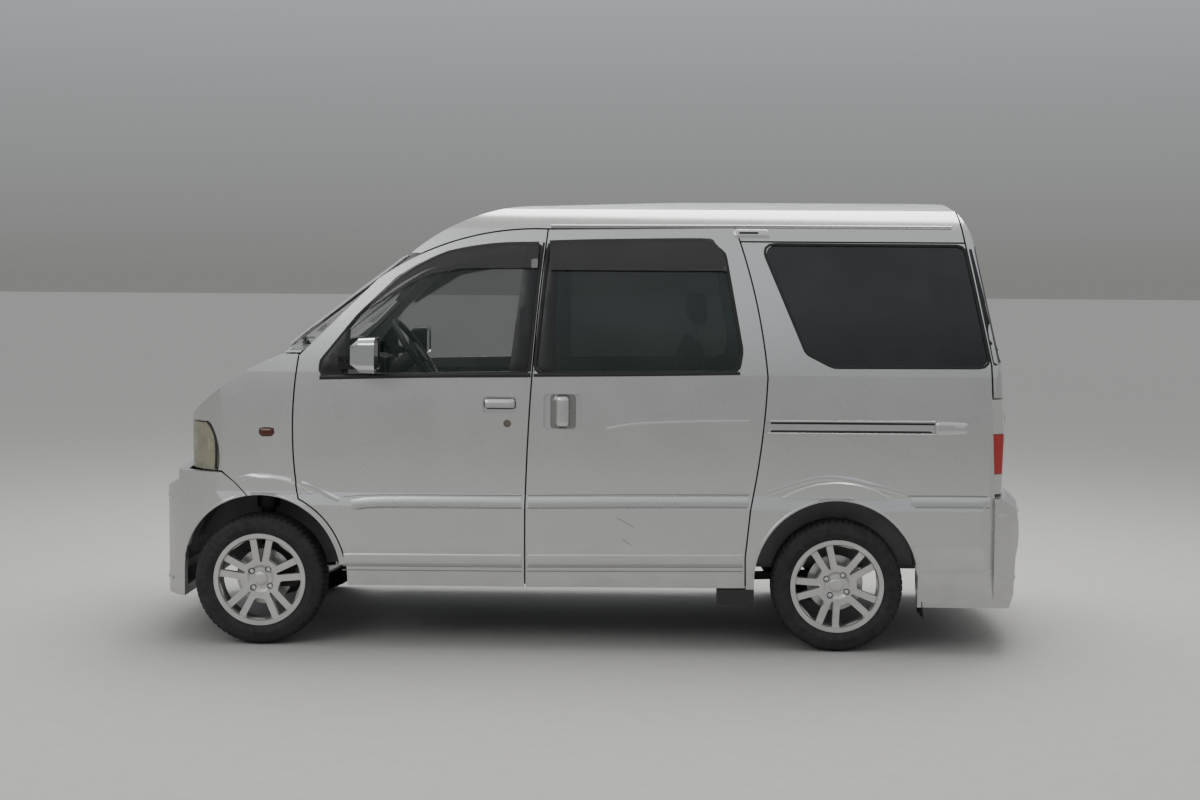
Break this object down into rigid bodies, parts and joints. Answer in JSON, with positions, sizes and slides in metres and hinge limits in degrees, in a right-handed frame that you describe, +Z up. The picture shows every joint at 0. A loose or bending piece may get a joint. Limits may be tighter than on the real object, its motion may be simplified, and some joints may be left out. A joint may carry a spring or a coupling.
{
  "type": "compact one-box passenger van",
  "caption": "One-box van with hinged front doors, tailgate and bonnet, fixed sliding doors, seats, steering and free-turning wheels.",
  "frame": {"origin": "on the ground under the middle of the van's length and width", "axes": "+X to the van's rear (the front faces -X), +Y to its right side, +Z up"},
  "size_m": [3.7651, 1.887, 1.896],
  "materials": {
    "paint": "silver metallic",
    "shell_paint": "silver grey, satin",
    "bumper_paint": "silver metallic",
    "glass_clear": "clear",
    "glass_green": "green tint",
    "glass_dark": "dark tint",
    "lamp_clear": "clear",
    "lamp_red": "red lens",
    "trim_dark": "matte",
    "dash_grey": "matte",
    "seat_cloth": "woven cloth",
    "cast_dark": "dull",
    "steel_black": "black chassis paint",
    "steel_bare": "dull",
    "alloy": "silver alloy",
    "chrome_trim": "polished",
    "mirror_glass": "mirror",
    "rubber": "matte",
    "lamp_amber": "amber lens",
    "tyre": "matte"
  },
  "bodies": {
    "body": {"body_frame": "shell_paint", "floor_pan": "shell_paint", "cowl": "trim_dark", "dashboard": "dash_grey", "engine": "cast_dark", "exhaust": "steel_bare", "front_bumper": "bumper_paint", "front_fenders": "paint", "front_seats": "seat_cloth", "front_suspension": "steel_black", "fuel_tank": "steel_black", "grille": "trim_dark", "headlamps": "lamp_clear", "propshaft": "steel_black", "quarter_glass": "glass_dark", "quarter_panels": "paint", "rear_axle": "steel_black", "rear_bumper": "bumper_paint", "roof": "paint", "second_bench": "seat_cloth", "sliding_door_glass": "glass_green", "sliding_doors": "paint", "tail_lamps": "lamp_red", "third_bench": "seat_cloth", "windscreen": "glass_clear"},
    "bonnet": {"bonnet": "paint"},
    "door_left": {"front_door_left": "paint", "front_door_glass_left": "glass_clear", "door_mirror_left": "chrome_trim"},
    "door_right": {"front_door_right": "paint", "front_door_glass_right": "glass_clear", "door_mirror_right": "chrome_trim"},
    "tailgate": {"tailgate": "paint", "tailgate_glass": "glass_dark"},
    "steering": {"steering_wheel": "trim_dark"},
    "knuckle_left": {"knuckle_left": "cast_dark"},
    "knuckle_right": {"knuckle_right": "cast_dark"},
    "wheel_front_left": {"wheel_front_left": "alloy", "tyre_front_left": "tyre"},
    "wheel_front_right": {"wheel_front_right": "alloy", "tyre_front_right": "tyre"},
    "wheel_rear_left": {"wheel_rear_left": "alloy", "tyre_rear_left": "tyre"},
    "wheel_rear_right": {"wheel_rear_right": "alloy", "tyre_rear_right": "tyre"}
  },
  "joints": [
    {"name": "front_door_left_hinge", "type": "hinge", "parent": "body", "child": "door_left", "pos_m": [-1.2045, -0.7485, 0.95], "axis": [0, 0, -1], "range_deg": [0, 65]},
    {"name": "front_door_right_hinge", "type": "hinge", "parent": "body", "child": "door_right", "pos_m": [-1.2045, 0.7485, 0.95], "axis": [0, 0, 1], "range_deg": [0, 65]},
    {"name": "tailgate_hinge", "type": "hinge", "parent": "body", "child": "tailgate", "pos_m": [1.5295, 0, 1.887], "axis": [0, -1, 0], "range_deg": [0, 80]},
    {"name": "bonnet_hinge", "type": "hinge", "parent": "body", "child": "bonnet", "pos_m": [-1.4035, 0, 1.226], "axis": [0, 1, 0], "range_deg": [0, 50]},
    {"name": "steering_wheel_turn", "type": "hinge", "parent": "body", "child": "steering", "pos_m": [-0.8525, 0.35, 1.19], "axis": [0.8192, 0, 0.5736], "range_deg": [-575, 575]},
    {"name": "steer_left", "type": "hinge", "parent": "body", "child": "knuckle_left", "pos_m": [-1.3825, -0.575, 0.277], "axis": [0, 0, 1], "range_deg": [-34, 34]},
    {"name": "steer_right", "type": "hinge", "parent": "body", "child": "knuckle_right", "pos_m": [-1.3825, 0.575, 0.277], "axis": [0, 0, 1], "range_deg": [-34, 34]},
    {"name": "wheel_front_left_spin", "type": "hinge", "parent": "knuckle_left", "child": "wheel_front_left", "pos_m": [-1.3825, -0.6525, 0.277], "axis": [0, 1, 0], "continuous": true},
    {"name": "wheel_front_right_spin", "type": "hinge", "parent": "knuckle_right", "child": "wheel_front_right", "pos_m": [-1.3825, 0.6525, 0.277], "axis": [0, 1, 0], "continuous": true},
    {"name": "wheel_rear_left_spin", "type": "hinge", "parent": "body", "child": "wheel_rear_left", "pos_m": [1.0475, -0.6525, 0.277], "axis": [0, 1, 0], "continuous": true},
    {"name": "wheel_rear_right_spin", "type": "hinge", "parent": "body", "child": "wheel_rear_right", "pos_m": [1.0475, 0.6525, 0.277], "axis": [0, 1, 0], "continuous": true}
  ],
  "couplings": [
    {"joint": "steer_left", "follows": "steering_wheel_turn", "ratio": 0.058824},
    {"joint": "steer_right", "follows": "steering_wheel_turn", "ratio": 0.058824}
  ]
}
